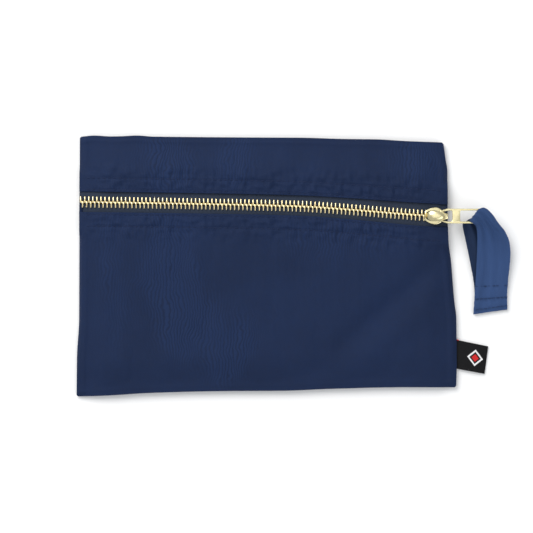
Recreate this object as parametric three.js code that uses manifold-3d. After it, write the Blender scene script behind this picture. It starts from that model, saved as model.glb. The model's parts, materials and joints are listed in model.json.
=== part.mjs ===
// A small zipped cash deposit bag, lying flat on its back.
// Millimetres. +X runs right along the width, +Y towards the zipped top edge, +Z up out of the
// front. The origin is the middle of the back panel's underside.
import * as THREE from 'three';
import Module from 'manifold-3d';
import { mergeVertices } from 'three/addons/utils/BufferGeometryUtils.js';

// ---- Driving dimensions ----

// The bag's four corners, seen from the front.
const topLeft = new THREE.Vector2(-101.6, 71.4);
const topRight = new THREE.Vector2(96.5, 67.6);
const bottomLeft = new THREE.Vector2(-103.6, -71.1);
const bottomRight = new THREE.Vector2(103.6, -66.2);

const cloth = 0.6; // thickness of a cloth panel
const gap = 0.3; // clearance between pieces that lie on each other
const seamHeight = 1.5; // underside of the front cloth where it is sewn to the back
const fullHeight = 6.2; // underside of the front cloth where the pocket is at its fullest
const rampWidth = 6; // how far in from a seam the front cloth has risen to its full height

const closedSlider = new THREE.Vector2(92.4, 27.5); // middle of the slider when the zip is shut
const chainAngle = THREE.MathUtils.degToRad(-2.4); // the zip runs slightly downhill to the right
const chainLevel = 5.6; // height of the middle of the teeth
const chainLeftEnd = -193; // left end of the teeth, measured along the zip from the slider
const slotHalf = 5.5; // from the zip's centre line to the folded edge of the front cloth

const toothPitch = 2.24; // from tooth to tooth along one row
const toothWidth = 0.82;
const toothReach = 0.55; // how far a tooth's tip passes the centre line
const toothRoot = 0.9; // inner face of the spine that carries a row of teeth
const toothRowOuter = 3; // outer face of that spine
const toothHeight = 3;
const tapeInner = 3.3; // inner and outer edges of the woven tape
const tapeOuter = 13;
const tapeLeftEnd = -185; // ends of the tape, measured along the zip from the slider
const tapeRightEnd = -3.5;
const edgeStitchInset = 1.3; // rows of top stitching, from the folded edge
const hemStitchInset = 7.6;
const stitchWidth = 0.5;
const stitchHeight = 0.25;
const stitchEndInset = 8; // a row stops this far short of each side seam

const sliderHalfLength = 6.4;
const sliderHalfWidth = 4.75;
const plateThickness = 0.8;
const plateClearance = 0.25; // between the teeth and a slider plate
const flangeWidth = 0.8;
const flangeReach = 1.1; // how far a flange closes in from its plate, leaving the tape's slot
const crownHeight = 3.3; // from the slider's top plate to the top of the crown
const crownHalfWidth = 2.3;
const crownNoseHalfWidth = 1.5;

const pullerAxle = new THREE.Vector2(2.2, 9.6); // along the zip from the slider, and height
const pullerThickness = 1;
const pullerHalfWidth = 4.05;
const pullerEnd = 25.9; // all along the zip from the slider
const crownWindow = { from: 2.8, to: 8.6, halfWidth: 2.75 };
const strapWindow = { from: 12.8, to: 24.4, halfWidth: 3.15 };

const strapThickness = 0.9; // one layer of bunched ribbon in the loop
const loopHalfWidth = 2.6;
const tailThickness = 2; // two layers of ribbon
const tailTopLevel = 7.6;
const tailBottomLevel = 0.1;
const tailTop = { y: 21, left: 110.6, right: 127.4 };
const tailMiddle = { y: 3, left: 112.2, right: 132.6 };
const tailBottom = { y: -25.4, left: 113.1, right: 131.6 };

const labelCorners = [[103.9, -40.2], [120.6, -43.7], [118.7, -58.3], [104.3, -55.8]];
const labelThickness = 0.9;

// ---- Materials ----

const finish = (color, roughness, metalness = 0) => new THREE.MeshStandardMaterial(
  { color, roughness, metalness },
);
const navyCloth = finish(0x27334f, 0.85);
const navyRibbon = finish(0x394e75, 0.75);
const blackTape = finish(0x1b1f29, 0.9);
const navyThread = finish(0x1f2a44, 0.8);
const redThread = finish(0xb3262c, 0.8);
const blackLabel = finish(0x111216, 0.8);
const brass = finish(0xd9c27a, 0.3, 1);
const springSteel = finish(0xb8bbc0, 0.35, 1);

// ---- Shared geometry ----

const wasm = await Module();
wasm.setup();

function toSolid(geometry) {
  const bare = geometry.clone();
  bare.deleteAttribute('normal');
  bare.deleteAttribute('uv');
  const merged = mergeVertices(bare, 1e-5);
  return new wasm.Manifold(new wasm.Mesh({
    numProp: 3,
    vertProperties: merged.getAttribute('position').array,
    triVerts: new Uint32Array(merged.index.array),
  }));
}

function toGeometry(solid) {
  const mesh = solid.getMesh();
  const geometry = new THREE.BufferGeometry();
  geometry.setAttribute('position', new THREE.BufferAttribute(mesh.vertProperties, 3));
  geometry.setIndex(new THREE.BufferAttribute(mesh.triVerts, 1));
  geometry.computeVertexNormals();
  return geometry;
}

const join = (solids) => toGeometry(solids.reduce((whole, next) => whole.add(next)));

function named(name, geometry, material) {
  const mesh = new THREE.Mesh(geometry, material);
  mesh.name = name;
  return mesh;
}

function outlineShape(points) {
  return new THREE.Shape(points.map(([x, y]) => new THREE.Vector2(x, y)));
}

function rectangle(from, to, halfWidth, Kind = THREE.Shape) {
  const shape = new Kind();
  shape.moveTo(from, -halfWidth);
  shape.lineTo(to, -halfWidth);
  shape.lineTo(to, halfWidth);
  shape.lineTo(from, halfWidth);
  shape.closePath();
  return shape;
}

// A plan outline given a flat thickness, its underside at a stated height.
function slab(shape, underside, thickness, curveSegments = 6) {
  const geometry = new THREE.ExtrudeGeometry(
    shape,
    { depth: thickness, bevelEnabled: false, curveSegments },
  );
  return geometry.translate(0, 0, underside);
}

// A side outline, drawn as distance along the zip and height, given a width across the zip.
function crosswise(shape, halfWidth) {
  const geometry = new THREE.ExtrudeGeometry(
    shape,
    { depth: 2 * halfWidth, bevelEnabled: false, curveSegments: 6 },
  );
  return geometry.rotateX(Math.PI / 2).translate(0, halfWidth, 0);
}

// A thin closed sheet. place(across, along) gives the x, y and underside of each grid point.
function drapedSheet(columns, rows, thickness, place) {
  const sheet = new THREE.BoxGeometry(1, 1, 1, columns, rows, 1);
  const points = sheet.getAttribute('position');
  for (let i = 0; i < points.count; i += 1) {
    const [x, y, underside] = place(points.getX(i) + 0.5, points.getY(i) + 0.5);
    points.setXYZ(i, x, y, underside + (points.getZ(i) + 0.5) * thickness);
  }
  return sheet;
}

// ---- The outline and the zip's line ----

const { lerp, smoothstep } = THREE.MathUtils;

const sideEdge = (top, bottom) => (y) => lerp(
  bottom.x,
  top.x,
  (y - bottom.y) / (top.y - bottom.y),
);
const leftEdge = sideEdge(topLeft, bottomLeft);
const rightEdge = sideEdge(topRight, bottomRight);

// The height on the page of a line beside the zip, offset square to it.
function besideZip(x, offset) {
  return closedSlider.y + (x - closedSlider.x) * Math.tan(chainAngle)
    + offset / Math.cos(chainAngle);
}

// ---- Cloth panels ----

function backPanel() {
  const corners = [topLeft, bottomLeft, bottomRight, topRight];
  return slab(new THREE.Shape(corners), 0, cloth);
}

// A front panel runs from a sewn outer edge of the bag to its folded edge beside the zip, and
// rises from the seams on three of its sides. Grid lines crowd towards those sides.
function frontPanel(outerLeft, outerRight, side) {
  const foldLeft = leftEdge(besideZip(outerLeft.x, side * slotHalf));
  const foldRight = rightEdge(besideZip(outerRight.x, side * slotHalf));
  return drapedSheet(22, 9, cloth, (across, along) => {
    const s = (1 - Math.cos(Math.PI * across)) / 2;
    const edge = side < 0 ? along : 1 - along;
    const t = 1 - Math.cos(Math.PI * edge / 2);
    const foldX = lerp(foldLeft, foldRight, s);
    const x = lerp(lerp(outerLeft.x, outerRight.x, s), foldX, t);
    const outerY = lerp(outerLeft.y, outerRight.y, s);
    const y = lerp(outerY, besideZip(foldX, side * slotHalf), t);
    const rise = smoothstep(x - leftEdge(y), 0, rampWidth)
      * smoothstep(rightEdge(y) - x, 0, rampWidth)
      * smoothstep(Math.abs(y - outerY), 0, rampWidth);
    return [x, y, lerp(seamHeight, fullHeight, rise)];
  });
}

// A strip that lies along a side seam, inside the bag.
function seamStrip(edgeAt, inward, from, to, underside, thickness) {
  const ends = { low: -64, high: 62 };
  return drapedSheet(1, 6, thickness, (across, along) => {
    const y = lerp(ends.low, ends.high, along);
    const distance = inward > 0 ? lerp(from, to, across) : lerp(to, from, across);
    return [edgeAt(y) + inward * distance, y, underside];
  });
}

// ---- The zip ----

// One row of teeth on its spine. side is 1 for the upper row and -1 for the lower one.
function teethRow(side) {
  const rightEnd = -1;
  const count = Math.floor((rightEnd - chainLeftEnd) / toothPitch) - 1;
  const first = chainLeftEnd + toothPitch * (side > 0 ? 0.5 : 1);
  const points = [[chainLeftEnd, side * toothRowOuter], [chainLeftEnd, side * toothRoot]];
  for (let i = 0; i < count; i += 1) {
    const middle = first + i * toothPitch;
    const near = middle - toothWidth / 2;
    const far = middle + toothWidth / 2;
    points.push([near, side * toothRoot], [near, -side * toothReach]);
    points.push([far, -side * toothReach], [far, side * toothRoot]);
  }
  points.push([rightEnd, side * toothRoot], [rightEnd, side * toothRowOuter]);
  return slab(outlineShape(points), chainLevel - toothHeight / 2, toothHeight);
}

function tape(side) {
  const length = tapeRightEnd - tapeLeftEnd;
  const geometry = new THREE.BoxGeometry(length, tapeOuter - tapeInner, cloth);
  const middle = (tapeLeftEnd + tapeRightEnd) / 2;
  return geometry.translate(middle, side * (tapeInner + tapeOuter) / 2, chainLevel);
}

function topStitch(side, inset) {
  const left = -closedSlider.x + leftEdge(closedSlider.y) + stitchEndInset;
  const right = rightEdge(closedSlider.y) - closedSlider.x - stitchEndInset;
  const geometry = new THREE.BoxGeometry(right - left, stitchWidth, stitchHeight);
  const level = fullHeight + cloth + gap + stitchHeight / 2;
  return geometry.translate((left + right) / 2, side * (slotHalf + inset), level);
}

// ---- The slider and its puller ----

// The slider's plan outline: a narrow tail on the closed side, widest just past its middle.
function sliderOutline(scale = 1, Kind = THREE.Shape) {
  const end = sliderHalfLength * scale;
  const wide = sliderHalfWidth * scale;
  const shape = new Kind();
  shape.moveTo(-end, -0.62 * wide);
  shape.bezierCurveTo(-0.5 * end, -0.68 * wide, -0.3 * end, -wide, 0.25 * end, -wide);
  shape.bezierCurveTo(0.7 * end, -wide, end, -0.85 * wide, end, -0.6 * wide);
  shape.lineTo(end, 0.6 * wide);
  shape.bezierCurveTo(end, 0.85 * wide, 0.7 * end, wide, 0.25 * end, wide);
  shape.bezierCurveTo(-0.3 * end, wide, -0.5 * end, 0.68 * wide, -end, 0.62 * wide);
  shape.closePath();
  return shape;
}

const plateOffset = toothHeight / 2 + plateClearance;
const topPlateUnderside = chainLevel + plateOffset;
const bottomPlateUnderside = chainLevel - plateOffset - plateThickness;

// Two plates joined by a post, with flanges along their sides that leave a slot for the tape.
function sliderBody() {
  const wall = sliderOutline();
  wall.holes.push(sliderOutline(1 - flangeWidth / sliderHalfWidth, THREE.Path));
  const reach = plateThickness + flangeReach;
  const flanges = [bottomPlateUnderside, topPlateUnderside - flangeReach]
    .map((underside) => toSolid(slab(wall, underside, reach)));
  const sides = toSolid(new THREE.BoxGeometry(5.2, 12, 12).translate(1.2, 0, chainLevel));
  const post = new THREE.Shape();
  post.moveTo(2, 0);
  post.lineTo(4, -1.2);
  post.lineTo(5.6, 0);
  post.lineTo(4, 1.2);
  post.closePath();
  const postHeight = topPlateUnderside + plateThickness - bottomPlateUnderside;
  return join([
    toSolid(slab(sliderOutline(), topPlateUnderside, plateThickness)),
    toSolid(slab(sliderOutline(), bottomPlateUnderside, plateThickness)),
    toSolid(slab(post, bottomPlateUnderside, postHeight)),
    ...flanges.map((flange) => flange.intersect(sides)),
  ]);
}

const plateTop = topPlateUnderside + plateThickness;

// An arched cap: a rounded dome over the lock spring, running to a nose in front of the axle.
function sliderCrown() {
  const foot = plateTop + gap;
  const top = plateTop + crownHeight;
  const side = new THREE.Shape();
  side.moveTo(-4.9, foot);
  side.bezierCurveTo(-4.9, foot + 1.8, -3.6, top, -1.4, top);
  side.lineTo(1.6, top);
  side.bezierCurveTo(3.4, top, 4.4, foot + 2, 4.4, foot);
  side.lineTo(3.3, foot);
  side.lineTo(3.3, foot + 1.4);
  side.lineTo(2.7, top - 0.9);
  side.lineTo(0.2, top - 0.9);
  side.lineTo(0.2, foot + 0.85);
  side.lineTo(-3.8, foot + 0.85);
  side.lineTo(-3.8, foot);
  side.closePath();
  const plan = new THREE.Shape();
  plan.moveTo(-4.9, -0.5 * crownHalfWidth);
  plan.bezierCurveTo(-4.9, -crownHalfWidth, -3.6, -crownHalfWidth, -2, -crownHalfWidth);
  plan.bezierCurveTo(0, -crownHalfWidth, 1, -crownNoseHalfWidth, 4.4, -crownNoseHalfWidth);
  plan.lineTo(4.4, crownNoseHalfWidth);
  plan.bezierCurveTo(1, crownNoseHalfWidth, 0, crownHalfWidth, -2, crownHalfWidth);
  plan.bezierCurveTo(-3.6, crownHalfWidth, -4.9, crownHalfWidth, -4.9, 0.5 * crownHalfWidth);
  plan.closePath();
  const arch = toSolid(crosswise(side, crownHalfWidth + 1));
  return toGeometry(arch.intersect(toSolid(slab(plan, plateTop, crownHeight + 1))));
}

function lockSpring() {
  const strip = new THREE.BoxGeometry(4, 1.6, 0.3);
  return strip.translate(-1.5, 0, plateTop + gap + 0.35);
}

// A flat puller with one window around the crown's nose and a long one for the strap.
function puller() {
  const tip = 1.1;
  const tail = 1.6;
  const plate = new THREE.Shape();
  plate.moveTo(tail, -pullerHalfWidth + tip);
  plate.lineTo(tail + tip, -pullerHalfWidth);
  plate.lineTo(pullerEnd - tip, -pullerHalfWidth);
  plate.lineTo(pullerEnd, -pullerHalfWidth + tip);
  plate.lineTo(pullerEnd, pullerHalfWidth - tip);
  plate.lineTo(pullerEnd - tip, pullerHalfWidth);
  plate.lineTo(tail + tip, pullerHalfWidth);
  plate.lineTo(tail, pullerHalfWidth - tip);
  plate.closePath();
  for (const window of [crownWindow, strapWindow]) {
    plate.holes.push(rectangle(window.from, window.to, window.halfWidth, THREE.Path));
  }
  return slab(plate, pullerAxle.y - pullerThickness / 2, pullerThickness);
}

// ---- The strap and the label ----

// The bunched ribbon around the puller's end bar, seen from the side as a ring.
function strapLoop() {
  const halfBar = pullerThickness / 2 + gap;
  const inner = { from: strapWindow.to - gap, to: pullerEnd + gap };
  const ring = rectangle(
    inner.from - strapThickness,
    inner.to + strapThickness,
    halfBar + strapThickness,
  );
  ring.holes.push(rectangle(inner.from, inner.to, halfBar, THREE.Path));
  return crosswise(ring, loopHalfWidth).translate(0, 0, pullerAxle.y);
}

// A point of the strap's two flat layers. along runs from the free end up to the puller.
function tailPoint(across, along, lift) {
  const upper = along > 0.5;
  const [from, to] = upper ? [tailMiddle, tailTop] : [tailBottom, tailMiddle];
  const t = upper ? 2 * along - 1 : 2 * along;
  const x = lerp(lerp(from.left, to.left, t), lerp(from.right, to.right, t), across);
  const y = lerp(from.y, to.y, t);
  const climb = (y - tailBottom.y) / (tailTop.y - tailBottom.y);
  return [x, y, lerp(tailBottomLevel, tailTopLevel, climb) + lift];
}

const strapTail = () => drapedSheet(2, 8, tailThickness, (a, b) => tailPoint(a, b, 0));

// The block of sewing that closes the ribbon's two ends.
const strapStitch = () => drapedSheet(2, 3, stitchHeight, (a, b) => tailPoint(
  lerp(0.12, 0.88, a),
  lerp(0.06, 0.3, b),
  tailThickness + gap,
));

function tackThread() {
  const root = labelCorners[0];
  return new THREE.BoxGeometry(1.6, 0.5, 0.4).translate(root[0], root[1] + 0.9, 0.9);
}

// ---- The whole bag ----

const bag = new THREE.Group();

bag.add(
  named('back_panel', backPanel(), navyCloth),
  named('front_upper_panel', frontPanel(topLeft, topRight, 1), navyCloth),
  named('front_lower_panel', frontPanel(bottomLeft, bottomRight, -1), navyCloth),
);

for (const [side, edgeAt, inward] of [['left', leftEdge, 1], ['right', rightEdge, -1]]) {
  const level = cloth + gap;
  bag.add(
    named(`${side}_seam_binding`, seamStrip(edgeAt, inward, 2.5, 6.5, level, 0.9), navyCloth),
    named(`${side}_seam_stitch`, seamStrip(edgeAt, inward, 1, 1.4, level, 0.3), navyThread),
  );
}

const zip = new THREE.Group();
zip.position.set(closedSlider.x, closedSlider.y, 0);
zip.rotation.z = chainAngle;
for (const [row, side] of [['upper', 1], ['lower', -1]]) {
  zip.add(
    named(`${row}_tape`, tape(side), blackTape),
    named(`${row}_teeth`, teethRow(side), brass),
    named(`${row}_edge_stitch`, topStitch(side, edgeStitchInset), navyThread),
    named(`${row}_hem_stitch`, topStitch(side, hemStitchInset), navyThread),
  );
}
zip.add(
  named('slider_body', sliderBody(), brass),
  named('slider_crown', sliderCrown(), brass),
  named('slider_lock_spring', lockSpring(), springSteel),
);
const pull = new THREE.Group(); // lies straight across the bag, whatever the zip's angle
pull.position.x = pullerAxle.x;
pull.rotation.z = -chainAngle;
pull.add(
  named('puller', puller().translate(-pullerAxle.x, 0, 0), brass),
  named('strap_loop', strapLoop().translate(-pullerAxle.x, 0, 0), navyRibbon),
);
zip.add(pull);
bag.add(zip);

bag.add(
  named('strap_tail', strapTail(), navyRibbon),
  named('strap_stitch', strapStitch(), navyThread),
  named('label', slab(outlineShape(labelCorners), 0.15, labelThickness), blackLabel),
  named('label_tack_thread', tackThread(), redThread),
);

export default bag;
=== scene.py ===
"""A zipped navy cloth cash deposit bag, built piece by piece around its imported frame.

Lengths are metres, and MM turns millimetres into metres. The bag lies on its back: +X runs right,
+Y towards the edge nearest the zip, and +Z up out of the front.
"""

import json
import math

import bmesh
import bpy
import numpy as np
from bpy.props import FloatProperty, FloatVectorProperty, IntProperty, PointerProperty
from mathutils import Matrix, Vector, noise


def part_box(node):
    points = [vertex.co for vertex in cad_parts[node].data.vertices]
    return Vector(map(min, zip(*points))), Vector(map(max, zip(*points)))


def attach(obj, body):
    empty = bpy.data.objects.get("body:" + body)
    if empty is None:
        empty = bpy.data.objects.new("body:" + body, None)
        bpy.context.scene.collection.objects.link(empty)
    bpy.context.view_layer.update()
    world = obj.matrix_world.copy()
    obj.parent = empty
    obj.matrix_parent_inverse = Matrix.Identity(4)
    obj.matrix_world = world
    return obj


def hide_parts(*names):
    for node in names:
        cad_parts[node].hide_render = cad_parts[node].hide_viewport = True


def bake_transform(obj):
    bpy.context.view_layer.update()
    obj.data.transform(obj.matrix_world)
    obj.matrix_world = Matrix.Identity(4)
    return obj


bl_info = {
    "name": "Cash deposit bag",
    "version": (1, 0, 0),
    "blender": (4, 5, 0),
    "location": "3D View > Sidebar > Deposit bag",
    "description": "Builds a zipped cloth cash deposit bag, piece by piece",
    "category": "Object",
}

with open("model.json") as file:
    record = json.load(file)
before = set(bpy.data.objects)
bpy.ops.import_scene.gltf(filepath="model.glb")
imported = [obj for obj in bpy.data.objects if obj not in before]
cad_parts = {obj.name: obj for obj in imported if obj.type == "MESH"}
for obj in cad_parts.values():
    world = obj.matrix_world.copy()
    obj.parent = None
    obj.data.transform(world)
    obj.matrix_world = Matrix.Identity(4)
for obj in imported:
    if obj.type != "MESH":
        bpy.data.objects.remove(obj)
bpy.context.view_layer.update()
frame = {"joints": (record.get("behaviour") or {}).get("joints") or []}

MM = 0.001
WHOLE_TURN = 2 * math.pi
JOINTS = {joint["name"]: joint for joint in frame["joints"]}
UP = Vector((0, 0, 1))


def axes_at(origin, across):
    """A matrix from a piece's own millimetres to the bag: along, across and up from origin."""
    across = Vector(across).normalized()
    along = across.cross(UP)
    turn = Matrix((along, across, UP)).transposed().to_4x4()
    return Matrix.Translation(origin) @ turn @ Matrix.Scale(MM, 4)


AXLE = Vector(JOINTS["puller_lift"]["pos_m"])
AXLE_FROM_SLIDER = 2.2 * MM
ZIP_ALONG = -Vector(JOINTS["slider_travel"]["axis"])
SLIDER_MIDDLE = AXLE - AXLE_FROM_SLIDER * ZIP_ALONG
SLIDER_AXES = axes_at((SLIDER_MIDDLE.x, SLIDER_MIDDLE.y, 0), UP.cross(ZIP_ALONG))
PULLER_AXES = axes_at(AXLE, -Vector(JOINTS["puller_lift"]["axis"]))
CHAIN_LEVEL = sum(corner.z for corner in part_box("upper_teeth")) / 2


# ---- Settings ----


def length(name, description, default):
    """A length property with a plain default in metres."""
    return FloatProperty(
        name=name, description=description, default=default, unit="LENGTH", precision=5
    )


def colour(name, description, default):
    """A linear colour property."""
    return FloatVectorProperty(
        name=name,
        description=description,
        default=default,
        size=3,
        subtype="COLOR",
        min=0,
        max=1,
    )


class ClothSettings(bpy.types.PropertyGroup):
    """Sizes of the bag's cloth and its sewing."""

    thickness: length("Thickness", "Thickness of the nylon cloth", 0.35 * MM)
    fold_radius: length("Fold radius", "Radius of the folded edge beside the zip", 0.5 * MM)
    hem_depth: length("Hem depth", "How far the folded edge runs back under itself", 9 * MM)
    zip_level: length("Level at the zip", "Height of the front beside the zip", 7.1 * MM)
    foot_level: length("Level at the foot", "Height of the front near the bottom", 5.6 * MM)
    seam_level: length("Seam level", "Height of the side seams above the floor", 1.1 * MM)
    corner_radius: length("Corner radius", "Rounding of the turned corners", 0.9 * MM)
    edge_row: length("Edge stitching", "From the folded edge to the first row", 1.3 * MM)
    hem_row: length("Hem stitching", "From the folded edge to the second row", 7.6 * MM)
    stitch: length("Stitch length", "From one stitch to the next", 2.9 * MM)
    thread: length("Thread", "Thickness of the sewing thread", 0.42 * MM)


class ZipSettings(bpy.types.PropertyGroup):
    """Sizes of the zip."""

    pitch: length("Tooth pitch", "From tooth to tooth along one row", 2.24 * MM)
    tape_edge: length("Tape edge", "From the zip's middle to the tape's outer edge", 13 * MM)
    tape: length("Tape thickness", "Thickness of the woven tape", 0.4 * MM)


class StrapSettings(bpy.types.PropertyGroup):
    """Sizes of the ribbon strap and the label."""

    ribbon: length("Ribbon thickness", "Thickness of one layer of ribbon", 0.5 * MM)
    width: length("Ribbon width", "Width of the ribbon where it lies flat", 18.5 * MM)
    pleats: IntProperty(name="Pleats", description="Pleats where it bunches", default=3)
    label: length("Label thickness", "Thickness of one layer of the label", 0.35 * MM)


class FinishSettings(bpy.types.PropertyGroup):
    """Colours of the bag's materials."""

    cloth: colour("Cloth", "Navy nylon", (0.0060, 0.0155, 0.0508))
    ribbon: colour("Ribbon", "Blue nylon ribbon", (0.029, 0.063, 0.165))
    tape: colour("Zip tape", "Charcoal tape", (0.021, 0.030, 0.052))
    thread: colour("Thread", "Navy thread", (0.010, 0.021, 0.066))
    ribbon_thread: colour("Strap thread", "Blue thread", (0.016, 0.036, 0.10))
    label: colour("Label", "Black satin", (0.003, 0.003, 0.0035))
    brass: colour("Brass", "Pale polished brass", (0.90, 0.80, 0.47))
    tooth_brass: colour("Tooth brass", "Deeper brass of the teeth", (0.88, 0.74, 0.42))
    steel: colour("Spring steel", "Bright steel", (0.60, 0.61, 0.63))
    red: colour("Red thread", "Red tack thread", (0.55, 0.02, 0.02))
    white: colour("White thread", "White woven motif", (0.75, 0.75, 0.75))
    floor: colour("Floor", "Plain pale floor", (0.96, 0.96, 0.96))


class StageSettings(bpy.types.PropertyGroup):
    """The camera and the lights."""

    view_width: length("View width", "Width of what the camera sees at the bag", 290.5 * MM)
    distance: length("Distance", "Height of the camera above the bag", 1.3)
    key_power: FloatProperty(name="Key light", description="Power", default=14, unit="POWER")
    fill_power: FloatProperty(name="Fill light", description="Power", default=5, unit="POWER")
    overhead_power: FloatProperty(
        name="Overhead light", description="Power", default=1.4, unit="POWER"
    )


# ---- Shared shapes ----


def smooth_curve(points):
    """A smooth line through a few chosen points, given in millimetres, as a function in metres."""
    knots, values = np.array(points, float).T * MM
    steps = np.diff(values) / np.diff(knots)
    before, after = steps[:-1], steps[1:]
    turning = np.where(before * after > 0, before + after, np.inf)
    slopes = np.concatenate([steps[:1], 2 * before * after / turning, steps[-1:]])

    def at(where):
        where = np.clip(where, knots[0], knots[-1])
        i = np.clip(np.searchsorted(knots, where) - 1, 0, len(knots) - 2)
        span = knots[i + 1] - knots[i]
        t = (where - knots[i]) / span
        start = (2 * t**3 - 3 * t**2 + 1) * values[i] + (t**3 - 2 * t**2 + t) * span * slopes[i]
        end = (3 * t**2 - 2 * t**3) * values[i + 1] + (t**3 - t**2) * span * slopes[i + 1]
        return start + end

    return at


def eased(distance, reach):
    """0 at distance 0, rising smoothly to 1 at reach."""
    t = np.clip(distance / reach, 0, 1)
    return t * t * (3 - 2 * t)


def rounded(distance, reach):
    """0 at distance 0, rising to 1 at reach as a quarter circle does."""
    t = 1 - np.clip(distance / reach, 0, 1)
    return np.sqrt(1 - t * t)


def hump(distance, spread):
    """A smooth hump of height 1 around distance 0."""
    return np.exp(-((distance / spread) ** 2))


def rough(x, y, x_scale, y_scale, seed):
    """Smooth random relief from -1 to 1, its grain x_scale by y_scale metres."""
    flat = zip(np.ravel(x) / x_scale, np.ravel(y) / y_scale)
    values = [noise.noise((a, b, seed)) for a, b in flat]
    return np.array(values).reshape(np.shape(x))


def grid(columns, rows, place, thickness=0.0):
    """A closed sheet: place(across, along) gives the points of one face, and it is thickened."""
    bm = bmesh.new()
    bm.loops.layers.uv.new("UVMap")
    bmesh.ops.create_grid(bm, x_segments=columns, y_segments=rows, size=1, calc_uvs=True)
    square = np.array([vert.co for vert in bm.verts])
    points = place((square[:, 0] + 1) / 2, (square[:, 1] + 1) / 2)
    for vert, point in zip(bm.verts, points):
        vert.co = point
    if thickness:
        bm.normal_update()
        thickened(bm, thickness)
    return bm


def thickened(bm, thickness):
    """Gives an open sheet its wall, with every face pointing out."""
    bmesh.ops.solidify(bm, geom=bm.faces[:], thickness=thickness)
    bmesh.ops.recalc_face_normals(bm, faces=bm.faces[:])


def tube(around, along, place):
    """A closed tube: a grid whose sides meet, with its two ends filled."""
    bm = grid(around, along, place)
    bmesh.ops.remove_doubles(bm, verts=bm.verts[:], dist=0.002 * MM)
    open_edges = [edge for edge in bm.edges if edge.is_boundary]
    bmesh.ops.holes_fill(bm, edges=open_edges, sides=0)
    bmesh.ops.recalc_face_normals(bm, faces=bm.faces[:])
    return bm


def made_verts(made):
    """The vertices among what an operator made."""
    return [item for item in made["geom"] if isinstance(item, bmesh.types.BMVert)]


def copied(bm, count):
    """Repeats a bmesh in place, and lists the vertices of each copy."""
    base = bm.verts[:] + bm.edges[:] + bm.faces[:]
    return [bm.verts[:]] + [
        made_verts(bmesh.ops.duplicate(bm, geom=base)) for _ in range(count - 1)
    ]


def bevelled(bm, edges, offset, segments):
    """Rounds some edges off."""
    bmesh.ops.bevel(
        bm,
        geom=edges,
        offset=offset,
        offset_type="OFFSET",
        segments=segments,
        profile=0.5,
        affect="EDGES",
        material=-1,
    )


def merge_into(whole, part):
    """Adds one bmesh to another and frees it."""
    mesh = bpy.data.meshes.new("part")
    part.to_mesh(mesh)
    part.free()
    whole.from_mesh(mesh)
    bpy.data.meshes.remove(mesh)


def make_piece(name, bm, slot, replaces=(), finish=None, sharp=40):
    """A named object from a bmesh, with its finish and the frame pieces it stands for."""
    mesh = bpy.data.meshes.new(name)
    for face in bm.faces:
        face.smooth = True
    bm.to_mesh(mesh)
    bm.free()
    mesh.set_sharp_from_angle(angle=math.radians(sharp))
    mesh.materials.append(finishes()[finish or slot])
    piece = bpy.data.objects.new(name, mesh)
    bpy.context.scene.collection.objects.link(piece)
    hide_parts(*replaces)
    return piece


def soften(piece):
    """Finishes a piece with a subdivision surface."""
    surface = piece.modifiers.new("Smooth", "SUBSURF")
    surface.levels = surface.render_levels = 2


# ---- The outline, the zip's line and the heights ----

top_edge = smooth_curve(
    [(-101.6, 70.9), (-94, 71.5), (-85, 71), (-78.8, 71.1), (-71.1, 71.5), (-61.5, 70.9)]
    + [(-3.5, 70.4), (18, 70.3), (43, 69.6), (60, 69.4), (75.5, 68.5), (96.5, 67.7)]
)
bottom_edge = smooth_curve(
    [(-103.6, -71), (-88, -70.5), (-63.5, -69), (-22.6, -68), (10, -67.8), (34.6, -66.8)]
    + [(75.5, -65.9), (103.3, -66)]
)
left_edge = smooth_curve([(-71, -103.8), (-50, -103.6), (-28, -102.4), (0, -102.3), (71.4, -102)])
right_edge = smooth_curve(
    [(-66, 103.6), (-56, 103.9), (-29, 103.7), (-18.3, 102.5), (3.5, 100.7), (14.4, 99.2)]
    + [(33, 98.8), (52.6, 98.8), (58, 97.9), (67.6, 96.6)]
)
zip_line = smooth_curve(
    [(-101.6, 35.2), (-36.2, 34.1), (18.3, 32.8), (45.5, 31), (70, 29), (85.3, 27.9), (99, 27.3)]
)
zip_level = smooth_curve([(-101.6, 3.6), (-94, 5.1), (-82, 5.6), (91, 5.6), (99, 4.2)])
fold_above = smooth_curve([(-101.6, 5.6), (18.3, 5.8), (60, 6.3), (85, 6.5), (99, 6.2)])
fold_below = smooth_curve([(-101.6, 5.4), (18.3, 5.1), (60, 5.4), (85, 5.8), (99, 5.6)])

LIPS = {
    "lower": {"side": -1, "outer": bottom_edge, "fold": fold_below, "body": "lower_lip"},
    "upper": {"side": 1, "outer": top_edge, "fold": fold_above, "body": "upper_lip"},
}
SPLIT = 0.62  # share of the width where the left and the right half of a lip meet
HALVES = (("left", 0, SPLIT), ("right", SPLIT, 1))
ZIP_ACROSS = 30 * MM  # about how far up the bag the zip runs
ZIP_START = -101.9 * MM
ZIP_LENGTH = 200.3 * MM
SIDE_SEAM = (-64 * MM, 62 * MM)  # where a side seam's binding and sewing start and end


def from_side(x, y):
    """Distance in from the nearer side edge."""
    return np.minimum(x - left_edge(y), right_edge(y) - x)


def outer_line(lip, x):
    """The outer edge of a lip's cloth, rounded off at the corners."""
    radius = bpy.context.scene.cloth_settings.corner_radius
    edge = lip["outer"](x)
    return edge - lip["side"] * radius * (1 - rounded(from_side(x, edge), radius))


def fold_line(lip, x):
    """The folded edge beside the zip."""
    return zip_line(x) + lip["side"] * lip["fold"](x)


def across_bag(share, y):
    """The place that is a share of the way from the left edge to the right one."""
    return left_edge(y) + share * (right_edge(y) - left_edge(y))


def side_seam_level(y):
    """Height of a side seam: it rises where the stiff zip is sewn into it."""
    cloth = bpy.context.scene.cloth_settings
    return cloth.seam_level + 3.4 * MM * hump(y - 31 * MM, 13 * MM)


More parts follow.
